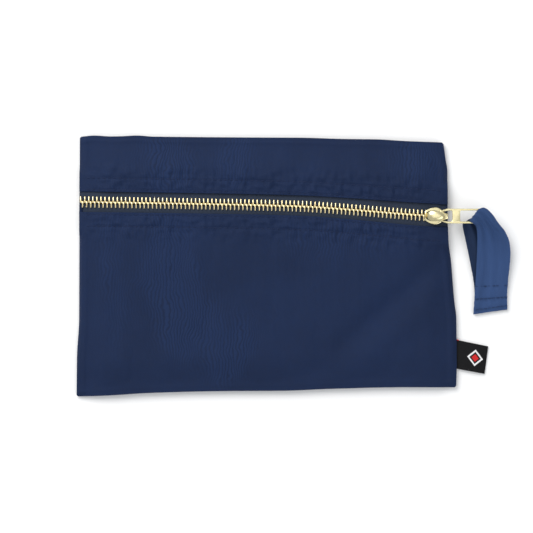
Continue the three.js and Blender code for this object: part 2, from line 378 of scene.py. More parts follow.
CRINKLES = (
    # middle x, middle y, half width, half height, lean, strength: lengths in millimetres
    (-54, 57, 12, 12, 0.10, 0.9),
    (-17, 58, 8, 12, -0.08, 0.9),
    (-52, -6, 12, 27, 0.12, 1.0),
    (-40, -34, 14, 12, -0.35, 1.0),
    (-19, -47, 10, 13, -0.30, 0.9),
    (81, 58, 12, 11, 0.05, 0.6),
    (40, 16, 26, 12, -0.3, 0.35),
    (-84, 0, 9, 36, 0.05, 0.3),
)


def crinkled(x, y):
    """How finely crinkled the cloth is, from 0 to 1, patch by patch."""
    total = 0 * x
    for middle_x, middle_y, half_x, half_y, lean, strength in CRINKLES:
        dy = y - middle_y * MM
        dx = x - middle_x * MM + lean * dy
        total = total + strength * hump(dx, half_x * MM) * hump(dy, half_y * MM)
    broken = 0.75 + 0.5 * rough(x, y, 7 * MM, 16 * MM, 2.6)
    return np.clip(total * broken, 0, 1)


FOLD_MIDDLE = (60 * MM, -27.8 * MM)  # of the long diagonal fold
FOLD_ALONG = Vector((77.9, 68.2)).normalized()
UNEVENNESS = (
    # height, grain across, grain along and seed of the cloth's gentle relief, in millimetres
    (0.55, 38, 46, 8.3),
    (0.44, 9, 22, 1.7),
    (0.11, 2.2, 11, 5.9),
)


def relief(x, y):
    """Folds and crinkles of the front cloth, in metres."""
    dx, dy = x - FOLD_MIDDLE[0], y - FOLD_MIDDLE[1]
    reach = dx * FOLD_ALONG.x + dy * FOLD_ALONG.y
    off = dx * FOLD_ALONG.y - dy * FOLD_ALONG.x
    valley = -1.9 * MM * hump(off, 7 * MM) + 1.0 * MM * hump(off - 13 * MM, 8 * MM)
    height = valley * hump(reach - 6 * MM, 48 * MM)
    height += -0.7 * MM * hump(x + 73 * MM, 3.5 * MM) * hump(y + 62 * MM, 15 * MM)
    height += 0.36 * MM * crinkled(x, y) * rough(x, y, 3.2 * MM, 18 * MM, 3.1)
    for tall, grain_x, grain_y, seed in UNEVENNESS:
        height += tall * MM * rough(x, y, grain_x * MM, grain_y * MM, seed)
    return height


def puckers(x, inset):
    """Gathers along the top stitching, and the grooves that the thread pulls."""
    cloth = bpy.context.scene.cloth_settings
    gathers = rough(x, inset, 2.4 * MM, 5 * MM, 4.4) + 0.7 * rough(x, inset, 6 * MM, 3 * MM, 2.2)
    swell = hump(inset - 4.5 * MM, 3.2 * MM) + 0.8 * hump(inset - 11 * MM, 4 * MM)
    rows = hump(inset - cloth.edge_row, 0.5 * MM) + hump(inset - cloth.hem_row, 0.6 * MM)
    return 1.0 * MM * gathers * swell + 0.22 * MM * swell - 0.24 * MM * rows


def risen(distance, reach):
    """How far the cloth has risen to its full height, at a distance in from its edge."""
    return 0.5 * rounded(distance, 3.2 * MM) + 0.5 * eased(distance, reach)


def front_level(lip, x, y, inset):
    """Height of the outside of the front cloth."""
    cloth = bpy.context.scene.cloth_settings
    side = from_side(x, y)
    outer = np.abs(outer_line(lip, x) - y)
    rise = risen(side, 18 * MM) * risen(outer, 20 * MM)
    near_zip = eased(80 * MM - inset, 80 * MM)
    full = cloth.foot_level + (cloth.zip_level - cloth.foot_level) * near_zip
    full = full + (zip_level(x) - CHAIN_LEVEL) * hump(inset, 20 * MM)
    seam = side_seam_level(y)
    bumps = relief(x, y) * eased(side, 12 * MM) * eased(outer, 9 * MM) * eased(inset, 14 * MM)
    allowance = 0.45 * MM * (eased(side - 0.6 * MM, 1 * MM) - eased(side - 4.1 * MM, 1 * MM))
    roll = 0.40 * MM * hump(outer - 2.6 * MM, 1.1 * MM)
    gather = puckers(x, inset) * eased(side, 6 * MM)
    level = seam + (full - seam) * rise + bumps + allowance + roll + gather
    # the cloth never sinks through the tape beneath it
    cover = zip_level(x) + 0.75 * MM - 2.5 * MM * eased(inset - 9 * MM, 6 * MM)
    return (level + cover + np.hypot(level - cover, 0.35 * MM)) / 2


def front_rows(reach):
    """Every row of a front panel, from the hem's raw edge, round the fold, to the outer seam.

    A row is its distance in from the fold and its drop below the outside.
    """
    cloth = bpy.context.scene.cloth_settings
    radius = cloth.fold_radius
    hem = [(cloth.hem_depth * share, 2 * radius) for share in (1, 0.8, 0.6, 0.4, 0.22)]
    turns = [math.radians(angle) for angle in range(-90, 91, 30)]
    bend = [(radius * (1 - math.cos(t)), radius * (1 - math.sin(t))) for t in turns]
    near = [(0.9 + 0.42 * i) * MM for i in range(24)]
    flat_end = reach - 5 * MM
    count = int((flat_end - near[-1]) / (1.1 * MM))
    middle = np.linspace(near[-1], flat_end, count + 1)[1:]
    last = reach - np.array([4.2, 3.4, 2.7, 2.0, 1.4, 0.9, 0.5, 0.2, 0]) * MM
    return hem + bend + [(inset, 0.0) for inset in [*near, *middle, *last]]


def front_place(lip, start, end, rows):
    """The function that lays a front panel's grid out between two shares of the width."""
    insets, drops = np.array(rows).T
    nominal = insets[-1]

    def place(across, along):
        index = np.rint(along * (len(rows) - 1)).astype(int)
        inset, drop = insets[index], drops[index]
        share = start + (end - start) * across
        x = across_bag(share, 0 * share)
        for _ in range(3):
            fold = fold_line(lip, x)
            reach = np.abs(outer_line(lip, x) - fold)
            grown = inset + (reach - nominal) * eased(inset - 12 * MM, nominal - 12 * MM)
            y = fold + lip["side"] * grown
            x = across_bag(share, y)
        z = front_level(lip, x, y, grown) - drop
        return np.column_stack([x, y, z])

    return place


def front_point(lip, x, inset):
    """A point on the outside of the front cloth, at a distance in from the fold."""
    y = fold_line(lip, x) + lip["side"] * inset
    return np.column_stack([x, y, front_level(lip, x, y, inset)])


def store_crinkles(piece):
    """Keeps how crinkled the cloth is at each point, for the cloth's material."""
    mesh = piece.data
    places = np.array([vert.co for vert in mesh.vertices])
    values = crinkled(places[:, 0], places[:, 1])
    mesh.attributes.new("crinkled", "FLOAT", "POINT").data.foreach_set("value", values)


def bend_with_lip(piece):
    """Bakes a lip piece's placement into its mesh."""
    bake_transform(piece)


# ---- Materials ----


def new_group(name, inputs, outputs):
    """A shader node group with a place, named numbers in and named values out."""
    group = bpy.data.node_groups.new(name, "ShaderNodeTree")
    group.interface.new_socket(name="Vector", in_out="INPUT", socket_type="NodeSocketVector")
    for socket, default in inputs.items():
        made = group.interface.new_socket(
            name=socket, in_out="INPUT", socket_type="NodeSocketFloat"
        )
        made.default_value = default
    for socket in outputs:
        group.interface.new_socket(name=socket, in_out="OUTPUT", socket_type="NodeSocketFloat")
    return group, node(group, "NodeGroupInput").outputs


def node(tree, kind, links=None, **values):
    """A node with its settings, and its inputs set or linked by name or number."""
    made = tree.nodes.new(kind)
    for key, value in values.items():
        setattr(made, key, value)
    for key, value in (links or {}).items():
        socket = made.inputs[key]
        if isinstance(value, bpy.types.NodeSocket):
            tree.links.new(value, socket)
        else:
            socket.default_value = value
    return made


def maths(tree, operation, first, second=0.0, third=0.0):
    """The output of one Math node."""
    values = {0: first, 1: second, 2: third}
    return node(tree, "ShaderNodeMath", values, operation=operation).outputs[0]


def noise_texture(tree, place, scale, detail, roughness):
    """The value of one Noise Texture node."""
    values = {"Vector": place, "Scale": scale, "Detail": detail, "Roughness": roughness}
    return node(tree, "ShaderNodeTexNoise", values).outputs["Fac"]


def weave_group():
    """Plain weave: crossed threads with uneven tension."""
    group, inside = new_group(
        "plain_weave",
        {"Warp pitch": 0.0005, "Weft pitch": 0.0005, "Unevenness": 0.9},
        ("Height", "Slubs"),
    )
    axes = node(group, "ShaderNodeSeparateXYZ", {0: inside["Vector"]}).outputs
    waves = []
    for axis, pitch in ((axes[0], "Warp pitch"), (axes[1], "Weft pitch")):
        turns = maths(group, "DIVIDE", axis, inside[pitch])
        waves.append(maths(group, "SINE", maths(group, "MULTIPLY", turns, WHOLE_TURN)))
    crossed = maths(group, "MULTIPLY", waves[0], waves[1])
    slubs = noise_texture(group, inside["Vector"], 420.0, 3.0, 0.6)
    uneven = maths(group, "MULTIPLY", slubs, inside["Unevenness"])
    threads = maths(group, "MULTIPLY_ADD", crossed, 0.5, 0.5)
    height = maths(group, "ADD", threads, uneven)
    node(group, "NodeGroupOutput", {"Height": height, "Slubs": slubs})
    return group


def mottle_group():
    """Soft uneven patches, from wide ones down to fine ones."""
    group, inside = new_group("mottle", {"Scale": 30.0, "Contrast": 1.0}, ("Mask",))
    patches = noise_texture(group, inside["Vector"], inside["Scale"], 6.0, 0.62)
    centred = maths(group, "SUBTRACT", patches, 0.5)
    mask = maths(group, "MULTIPLY_ADD", centred, inside["Contrast"], 0.5)
    clamped = node(group, "ShaderNodeClamp", {0: mask}).outputs[0]
    node(group, "NodeGroupOutput", {"Mask": clamped})
    return group


def ripple_group():
    """Fine wandering ripples, as strong as the mask says."""
    group, inside = new_group("ripples", {"Spacing": 0.0017, "Mask": 0.0}, ("Height",))
    drift = noise_texture(group, inside["Vector"], 65.0, 3.0, 0.5)
    axes = node(group, "ShaderNodeSeparateXYZ", {0: inside["Vector"]}).outputs
    place = maths(group, "DIVIDE", axes[0], inside["Spacing"])
    wandering = maths(group, "MULTIPLY_ADD", drift, 7.0, place)
    wave = maths(group, "SINE", maths(group, "MULTIPLY", wandering, WHOLE_TURN))
    height = maths(group, "MULTIPLY", wave, inside["Mask"])
    node(group, "NodeGroupOutput", {"Height": height})
    return group


def use_group(tree, name, make, links):
    """A node group placed in a material, made the first time it is asked for."""
    group = bpy.data.node_groups.get(name) or make()
    return node(tree, "ShaderNodeGroup", links, node_tree=group).outputs


def mottled(tree, where, scale, contrast):
    """The mask of the shared mottle, at a scale and contrast."""
    values = {"Vector": where, "Scale": scale, "Contrast": contrast}
    return use_group(tree, "mottle", mottle_group, values)["Mask"]


def new_material(name, **principled):
    """A material with its Principled node's plain values set, and its tree."""
    material = bpy.data.materials.get(name)
    if material:
        return material, None, None
    material = bpy.data.materials.new(name)
    material.use_nodes = True
    shader = material.node_tree.nodes["Principled BSDF"]
    for key, value in principled.items():
        shader.inputs[key.replace("_", " ")].default_value = value
    return material, material.node_tree, shader


def tint(colour_value, factor):
    """A colour made lighter or darker, with full alpha."""
    return (*(min(1.0, channel * factor) for channel in colour_value), 1.0)


def mixed(tree, mask, first, second):
    """The colour output of a Mix node."""
    values = {0: mask, 6: first, 7: second}
    return node(tree, "ShaderNodeMix", values, data_type="RGBA").outputs[2]


def two_tone(tree, mask, colour_value, dark, light):
    """A colour that wanders between a darker and a lighter shade of itself."""
    return mixed(tree, mask, tint(colour_value, dark), tint(colour_value, light))


def bump(tree, shader, height, distance, strength=1.0):
    """Feeds a height into the shader's normal."""
    values = {"Height": height, "Strength": strength, "Distance": distance}
    normal = node(tree, "ShaderNodeBump", values).outputs[0]
    tree.links.new(normal, shader.inputs["Normal"])


def woven_material(
    name,
    colour_value,
    pitch,
    depth,
    space="Object",
    rough_at=0.62,
    shine=0.04,
    crinkles=False,
    back_layer_shade=0.0,
):
    """Cloth: woven threads, uneven dye and a soft sheen, with painted highlights on crinkled
    patches and painted shade on the back layer where asked for.
    """
    material, tree, shader = new_material(
        name,
        Sheen_Weight=shine,
        Sheen_Roughness=0.45,
        Sheen_Tint=tint((0.45, 0.55, 0.8), 1),
        Specular_IOR_Level=0.16,
    )
    if tree is None:
        return material
    where = node(tree, "ShaderNodeTexCoord").outputs[space]
    threads_at = {"Vector": where, "Warp pitch": pitch[0], "Weft pitch": pitch[1]}
    weave = use_group(tree, "plain_weave", weave_group, threads_at)
    scale = 22.0 if space == "Object" else 3.0
    patches = mottled(tree, where, scale, 1.6)
    threads = maths(tree, "MULTIPLY", weave["Height"], 0.35)
    shade = maths(tree, "MULTIPLY_ADD", patches, 0.55, threads)
    height = weave["Height"]
    if crinkles:
        crinkle_and_highlight_mask = node(tree, "ShaderNodeAttribute", attribute_name="crinkled").outputs["Fac"]
        values = {"Vector": where, "Spacing": 1.7 * MM, "Mask": crinkle_and_highlight_mask}
        ripples = use_group(tree, "ripples", ripple_group, values)["Height"]
        # Painted light and shade: the ripples lighten and darken the colour in stripes, and the
        # crinkled patches are painted lighter as highlights on their creases. The ripples also
        # feed the bump.
        shade = maths(tree, "MULTIPLY_ADD", ripples, 1.2, shade)
        shade = maths(tree, "ADD", shade, crinkle_and_highlight_mask)
        height = maths(tree, "MULTIPLY_ADD", ripples, 1.3, height)
    colours = two_tone(tree, shade, colour_value, 0.6, 1.5)
    # Painted shade: past the strap's halfway mark, the back layer beneath the front one gets a
    # darker copy of its colour.
    if back_layer_shade:
        along = node(tree, "ShaderNodeSeparateXYZ", {0: where}).outputs[1]
        back_layer_mask = node(
            tree, "ShaderNodeMapRange", {"Value": along, 1: 0.50, 2: 0.56, 3: 0.0, 4: 1.0}
        ).outputs[0]
        shaded = two_tone(tree, shade, colour_value, 0.6 * back_layer_shade, 1.4 * back_layer_shade)
        colours = mixed(tree, back_layer_mask, colours, shaded)
    tree.links.new(colours, shader.inputs["Base Color"])
    roughness = maths(tree, "MULTIPLY_ADD", weave["Slubs"], 0.25, rough_at - 0.12)
    tree.links.new(roughness, shader.inputs["Roughness"])
    bump(tree, shader, height, depth)
    return material


def metal_material(name, colour_value, rough_at):
    """Polished metal with rubbed patches and fine scratches."""
    material, tree, shader = new_material(name, Metallic=1.0)
    if tree is None:
        return material
    where = node(tree, "ShaderNodeTexCoord").outputs["Object"]
    rubbed = mottled(tree, where, 260.0, 1.8)
    scratches = mottled(tree, where, 1800.0, 1.5)
    shade = two_tone(tree, rubbed, colour_value, 0.82, 1.12)
    tree.links.new(shade, shader.inputs["Base Color"])
    roughness = maths(tree, "MULTIPLY_ADD", rubbed, 0.16, rough_at - 0.08)
    tree.links.new(roughness, shader.inputs["Roughness"])
    bump(tree, shader, scratches, 0.03 * MM, 0.5)
    return material


def thread_material(name, colour_value):
    """Twisted thread: slanting plies along each stitch."""
    material, tree, shader = new_material(
        name, Sheen_Weight=0.03, Sheen_Roughness=0.4, Specular_IOR_Level=0.2
    )
    if tree is None:
        return material
    where = node(tree, "ShaderNodeTexCoord").outputs["Object"]
    plies = node(
        tree,
        "ShaderNodeTexWave",
        {"Vector": where, "Scale": 900.0, "Distortion": 0.4},
        bands_direction="DIAGONAL",
    ).outputs["Fac"]
    tree.links.new(two_tone(tree, plies, colour_value, 0.7, 1.35), shader.inputs["Base Color"])
    shader.inputs["Roughness"].default_value = 0.62
    bump(tree, shader, plies, 0.06 * MM)
    return material


def finishes():
    """Every material of the bag, by the name of its slot."""
    paint = bpy.context.scene.finish_settings
    fine = (0.42 * MM, 0.42 * MM)
    return {
        "navy_cloth": woven_material("navy_nylon", paint.cloth, fine, 0.07 * MM, crinkles=True),
        # The ribbon's last value darkens its back layer as painted shade.
        "navy_ribbon": woven_material(
            "ribbed_ribbon", paint.ribbon, (0.035, 0.0045), 0.12 * MM, "UV", 0.58, 0.05, False, 0.4
        ),
        "zip_tape": woven_material("zip_tape_twill", paint.tape, (0.9 * MM, 0.45 * MM), 0.1 * MM),
        "navy_thread": thread_material("navy_sewing_thread", paint.thread),
        "ribbon_thread": thread_material("ribbon_thread", paint.ribbon_thread),
        "red_thread": thread_material("red_tack_thread", paint.red),
        "white_thread": thread_material("white_motif_thread", paint.white),
        "woven_label": woven_material(
            "black_satin_label", paint.label, (0.02, 0.02), 0.05 * MM, "UV", 0.5, 0.03
        ),
        "brass": metal_material("pale_brass", paint.brass, 0.24),
        "tooth_brass": metal_material("zip_tooth_brass", paint.tooth_brass, 0.3),
        "spring_steel": metal_material("bright_spring_steel", paint.steel, 0.3),
    }


# ---- Cloth pieces ----


def graded(share):
    """Crowds grid lines towards both ends of a sheet."""
    return share - 0.12 * np.sin(WHOLE_TURN * share)


def make_back_cloth():
    """The back of the bag: flat on the floor, turning up to its seams."""
    cloth = bpy.context.scene.cloth_settings

    def place(across, along):
        x = across_bag(across, 0 * across)
        for _ in range(3):
            low, high = outer_line(LIPS["lower"], x), outer_line(LIPS["upper"], x)
            y = low + along * (high - low)
            x = across_bag(across, y)
        side = from_side(x, y)
        outer = np.minimum(y - low, high - y)
        lift = 1 - eased(side, 7 * MM) * eased(outer, 6 * MM)
        z = (side_seam_level(y) - cloth.thickness) * lift
        z += 0.12 * MM * (1 + rough(x, y, 20 * MM, 16 * MM, 6.6)) * (1 - lift)
        return np.column_stack([x, y, z])

    bm = grid(150, 110, lambda a, b: place(graded(a), graded(b)), -cloth.thickness)
    piece = make_piece("back_cloth", bm, "navy_cloth", ["back_panel"])
    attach(piece, "bag")


def make_front_cloth(name):
    """One lip of the front, in two halves split across its width."""
    cloth = bpy.context.scene.cloth_settings
    lip = LIPS[name]
    middle = np.array([0.0])
    reach = float(abs(outer_line(lip, middle) - fold_line(lip, middle))[0])
    rows = front_rows(reach)
    for half, start, end in HALVES:
        place = front_place(lip, start, end, rows)
        columns = int((end - start) * 250)
        bm = grid(columns, len(rows) - 1, place, lip["side"] * cloth.thickness)
        replaced = [f"front_{name}_panel"]
        piece = make_piece(f"front_{name}_cloth_{half}", bm, "navy_cloth", replaced)
        store_crinkles(piece)
        bend_with_lip(piece)


def make_seam_strips():
    """The bound seam allowances inside the side seams, with their sewing."""
    cloth = bpy.context.scene.cloth_settings
    foot, top = SIDE_SEAM
    for side, edge, inward in (("left", left_edge, 1), ("right", right_edge, -1)):

        def place(across, along):
            y = foot + along * (top - foot)
            turn = WHOLE_TURN * across
            x = edge(y) + inward * (4 - 2.2 * np.cos(turn)) * MM
            z = side_seam_level(y) * 0.35 + (1.1 + 0.45 * np.sin(turn)) * MM
            z += 0.12 * MM * rough(x, y, 5 * MM, 4 * MM, 9.4)
            return np.column_stack([x, y, z])

        bm = tube(16, 90, place)
        piece = make_piece(f"{side}_bound_seam", bm, "navy_cloth", [f"{side}_seam_binding"])
        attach(piece, "bag")

        def seam_point(share):
            y = foot + share * (top - foot)
            x = edge(y) + inward * 1.2 * MM
            return np.column_stack([x, y, side_seam_level(y)])

        bm = stitch_row(seam_point, 44, cloth.thread)
        piece = make_piece(f"{side}_seam_sewing", bm, "navy_thread", [f"{side}_seam_stitch"])
        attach(piece, "bag")


def stitch_row(line, count, thread, sink=0.30 * MM, gap=0.16):
    """Separate stitches along line(share), each a short thread that dips in at both ends."""
    bm = bmesh.new()
    bmesh.ops.create_cone(bm, cap_ends=True, segments=7, radius1=1, radius2=1, depth=2)
    lengthwise = [edge for edge in bm.edges if abs(edge.verts[0].co.z - edge.verts[1].co.z) > 1]
    bmesh.ops.subdivide_edges(bm, edges=lengthwise, cuts=4)
    pattern = np.array([vert.co for vert in bm.verts])
    run = pattern[:, 2]
    taper = 1 - 0.35 * run**4
    for i, verts in enumerate(copied(bm, count)):
        share = (i + 0.5 + run * (0.5 - gap / 2)) / count
        points = line(share)
        ahead = line(share + 0.001) - line(share - 0.001)
        ahead /= np.linalg.norm(ahead, axis=1)[:, None]
        side = np.column_stack([-ahead[:, 1], ahead[:, 0], 0 * share])
        radius = thread / 2 * taper
        points = points + side * (pattern[:, 0] * radius)[:, None]
        points[:, 2] += pattern[:, 1] * radius + thread * 0.35 - sink * run**4
        for vert, point in zip(verts, points):
            vert.co = point
    bmesh.ops.recalc_face_normals(bm, faces=bm.faces[:])
    return bm


ROW_ENDS = (0.018, 0.982)  # shares of the width where the rows start and end


def make_top_stitching():
    """Four rows of top stitching, in halves that follow their lips."""
    cloth = bpy.context.scene.cloth_settings
    rows = (("edge", cloth.edge_row), ("hem", cloth.hem_row))
    for name, lip in LIPS.items():
        for row, inset in rows:
            for half, start, end in HALVES:
                first = across_bag(max(start, ROW_ENDS[0]), ZIP_ACROSS)
                last = across_bag(min(end, ROW_ENDS[1]), ZIP_ACROSS)

                def line(share):
                    x = first + (last - first) * share
                    return front_point(lip, x, inset + 0 * x)

                count = round((last - first) / cloth.stitch)
                bm = stitch_row(line, count, cloth.thread)
                piece_name = f"{name}_{row}_stitching_{half}"
                piece = make_piece(piece_name, bm, "navy_thread", [f"{name}_{row}_stitch"])
                bend_with_lip(piece)


# ---- The zip ----


TAPE_CORD = 1.0 * MM  # from the zip's middle to a tape's inner edge


def make_tapes():
    """The two woven tapes, each with a corded inner edge."""
    settings = bpy.context.scene.zip_settings
    for name, lip in LIPS.items():
        for half, start, end in HALVES:

            def place(across, along):
                x = ZIP_START + ZIP_LENGTH * (start + (end - start) * across)
                off = TAPE_CORD + along * (settings.tape_edge - TAPE_CORD)
                sag = 0.25 * MM * rough(x, off, 12 * MM, 6 * MM, 7.7) * eased(off, 8 * MM)
                cord = 0.25 * MM * hump(off - 1.2 * MM, 0.8 * MM)
                z = zip_level(x) + cord + sag - 0.1 * MM * eased(off - 3 * MM, 3 * MM)
                return np.column_stack([x, zip_line(x) + lip["side"] * off, z])

            columns = int((end - start) * 150)
            bm = grid(columns, 16, place, lip["side"] * settings.tape)
            piece = make_piece(f"{name}_zip_tape_{half}", bm, "zip_tape", [f"{name}_tape"])
            bend_with_lip(piece)


TOOTH_RINGS = (
    # distance from the zip's middle, half width along the zip, half height, in millimetres
    (-0.62, 0.34, 0.75),
    (-0.25, 0.54, 1.20),
    (0.50, 0.54, 1.35),
    (0.90, 0.36, 1.42),
    (3.05, 0.36, 1.20),
)


def tooth():
    """One tooth: a waisted brass clamp with a rounded head."""
    bm = bmesh.new()
    bmesh.ops.create_cube(bm, size=2)
    lengthwise = [edge for edge in bm.edges if abs(edge.verts[0].co.y - edge.verts[1].co.y) > 1]
    bmesh.ops.subdivide_edges(bm, edges=lengthwise, cuts=len(TOOTH_RINGS) - 2)
    for vert in bm.verts:
        ring = round((vert.co.y + 1) / 2 * (len(TOOTH_RINGS) - 1))
        off, half_width, half_height = TOOTH_RINGS[ring]
        vert.co = Vector((vert.co.x * half_width, off, vert.co.z * half_height))
    bevelled(bm, bm.edges[:], 0.13, 1)
    bmesh.ops.remove_doubles(bm, verts=bm.verts[:], dist=0.01)
    bmesh.ops.recalc_face_normals(bm, faces=bm.faces[:])
    return bm


def make_teeth():
    """Two rows of separate teeth, meshed along the middle of the zip."""
    settings = bpy.context.scene.zip_settings
    last = SLIDER_MIDDLE.x - 1.2 * MM
    split = across_bag(SPLIT, ZIP_ACROSS)
    for name, lip in LIPS.items():
        offset = 0.25 if lip["side"] > 0 else 0.75
        count = int((last - ZIP_START) / settings.pitch)
        places = [ZIP_START + (i + offset) * settings.pitch for i in range(count)]
        for half, _, _ in HALVES:
            chosen = [x for x in places if (x < split) == (half == "left")]
            bm = tooth()
            pattern = [vert.co.copy() for vert in bm.verts]
            for i, (x, verts) in enumerate(zip(chosen, copied(bm, len(chosen)))):
                slope = float(zip_line(x + MM) - zip_line(x - MM)) / (2 * MM)
                jitter = 0.05 * noise.noise((i * 3.7, lip["side"], 0.5))
                shift = Matrix.Translation((x, zip_line(x), zip_level(x)))
                turn = Matrix.Rotation(math.atan(slope) + jitter, 4, "Z")
                whole = shift @ turn @ Matrix.Diagonal((MM, MM * lip["side"], MM, 1))
                for vert, point in zip(verts, pattern):
                    vert.co = whole @ point
            bmesh.ops.recalc_face_normals(bm, faces=bm.faces[:])
            piece = make_piece(
                f"{name}_zip_teeth_{half}", bm, "brass", [f"{name}_teeth"], "tooth_brass", 50
            )
            bend_with_lip(piece)


# ---- The slider, its crown and the puller ----

# along the zip from the slider's middle, and half the upper plate's width, in millimetres
SLIDER_OUTLINE = ((-6.4, 2.3), (-5, 3.2), (-3, 4.2), (-0.6, 4.75), (1.2, 4.5), (2.6, 3.5))
SLIDER_OUTLINE += ((3.6, 2.3), (5, 1.5), (6.4, 1.3))


PLATE_GAP = 2.3  # from the chain's middle to each plate, millimetres


def slider_half_width(along, side):
    """Half the slider's width: the upper plate draws in to a nose, the lower one stays wide."""
    knots, halves_at = np.array(SLIDER_OUTLINE).T
    nose = np.interp(along, knots, halves_at)
    broad = np.maximum(nose, 3.6 * eased(along, 0.5))
    return nose if side > 0 else broad


def make_slider():
    """Two domed plates joined by a post, with turned-in flanges that hold the tape."""
    whole = bmesh.new()
    reach = SLIDER_OUTLINE[-1][0]
    for side in (1, -1):

        def place(across, along):
            u = reach * (2 * across - 1)
            fan = np.clip((along - 0.5) * 2.5, -1, 1)
            lip_share = np.clip(np.abs(along - 0.5) * 10 - 4, 0, 1)
            flange = eased(u + 2.8, 1.6) * eased(2.6 - u, 1.2)
            v = slider_half_width(u, side) * fan
            dome = 0.25 * (1 - fan**2)
            z = CHAIN_LEVEL / MM + side * (PLATE_GAP + dome - 1.4 * lip_share * flange)
            return np.column_stack([u, v, z])

        merge_into(whole, grid(14, 20, place, 0.75 * side))
    bm = bmesh.new()
    bmesh.ops.create_cone(bm, cap_ends=True, segments=10, radius1=1.3, radius2=1.3, depth=4.1)
    bmesh.ops.transform(
        bm, matrix=Matrix.Translation((3.9, 0, CHAIN_LEVEL / MM)), verts=bm.verts[:]
    )
    merge_into(whole, bm)
    bmesh.ops.transform(whole, matrix=SLIDER_AXES, verts=whole.verts[:])
    piece = make_piece("zip_slider", whole, "brass", ["slider_body"], sharp=60)
    soften(piece)
    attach(piece, "slider")


CROWN_ARCH = (
    # along the zip from the slider's middle, height above the plate, half width, millimetres
    (-5.3, -0.3, 1.1),
    (-5.0, 1.0, 1.6),
    (-4.1, 2.4, 2.3),
    (-2.2, 3.2, 2.8),
    (0.2, 3.35, 2.6),
    (2.1, 3.35, 2.0),
    (3.2, 3.1, 1.6),
    (4.0, 2.1, 1.4),
    (4.2, 0.9, 1.3),
    (4.2, -0.3, 1.3),
)


def make_crown():
    """The arched cap over the slider, its sides rolled down."""
    arch = np.array(CROWN_ARCH)
    knots = np.linspace(0, 1, len(arch))
    plate = CHAIN_LEVEL / MM + 2.55

    def place(across, along):
        u, height, half = (np.interp(along, knots, arch[:, i]) for i in range(3))
        fan = 2 * across - 1
        roll = 0.9 * np.abs(fan) ** 3 * eased(height, 1.5)
        return np.column_stack([u, half * fan, plate + height - roll])

    bm = grid(8, 16, place, 0.8)
    bmesh.ops.transform(bm, matrix=SLIDER_AXES, verts=bm.verts[:])
    piece = make_piece("slider_cap", bm, "brass", ["slider_crown"], sharp=60)
    soften(piece)
    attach(piece, "slider")


def make_lock_spring():
    """The sprung strip under the crown that locks the slider."""

    def place(across, along):
        u = -3.6 + 4.6 * along
        z = CHAIN_LEVEL / MM + 3.2 + 0.5 * np.sin(math.pi * along)
        return np.column_stack([u, (across - 0.5) * 1.6, z])

    bm = grid(3, 12, place, 0.25)
    bmesh.ops.transform(bm, matrix=SLIDER_AXES, verts=bm.verts[:])
    piece = make_piece("lock_spring", bm, "spring_steel", ["slider_lock_spring"])
    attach(piece, "slider")


PULLER_ALONG = (-0.6, 0.7, 3.8, 6.4, 10.6, 22.2, 23.7)  # from the axle, millimetres
PULLER_TAPER = (0.7, 0.78, 1, 1, 1, 1, 1)
PULLER_ACROSS = (-4.05, -2.95, 2.95, 4.05)
PULLER_WINDOWS = (2.2, 5, 16)  # a place inside each opening, from the axle


def make_puller():
    """A flat plate with a window around the crown's nose and a long one for the strap."""
    bm = bmesh.new()
    bm.loops.layers.uv.new("UVMap")
    columns, rows = len(PULLER_ALONG) - 1, len(PULLER_ACROSS) - 1
    bmesh.ops.create_grid(bm, x_segments=columns, y_segments=rows, size=1)
    for vert in bm.verts:
        i = round((vert.co.x + 1) / 2 * columns)
        j = round((vert.co.y + 1) / 2 * rows)
        vert.co = Vector((PULLER_ALONG[i], PULLER_ACROSS[j] * PULLER_TAPER[i], 0))
    windows = []
    for face in bm.faces:
        centre = face.calc_center_median()
        if abs(centre.y) < 1 and min(abs(centre.x - place) for place in PULLER_WINDOWS) < 1:
            windows.append(face)
    bmesh.ops.delete(bm, geom=windows, context="FACES")
    bmesh.ops.translate(bm, vec=(0, 0, -0.5), verts=bm.verts[:])
    raised = made_verts(bmesh.ops.extrude_face_region(bm, geom=bm.faces[:]))
    bmesh.ops.translate(bm, vec=(0, 0, 1), verts=raised)
    bmesh.ops.recalc_face_normals(bm, faces=bm.faces[:])
    folded = [edge for edge in bm.edges if edge.calc_face_angle(0) > 1]
    upright = [edge for edge in folded if abs(edge.verts[0].co.z - edge.verts[1].co.z) > 0.5]
    bevelled(bm, upright, 0.8, 4)
    bevelled(bm, [edge for edge in bm.edges if edge.calc_face_angle(0) > 1], 0.24, 3)
    bmesh.ops.transform(bm, matrix=PULLER_AXES, verts=bm.verts[:])
    piece = make_piece("zip_puller", bm, "brass", ["puller"], sharp=35)
    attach(piece, "puller")


# ---- The strap and the label ----

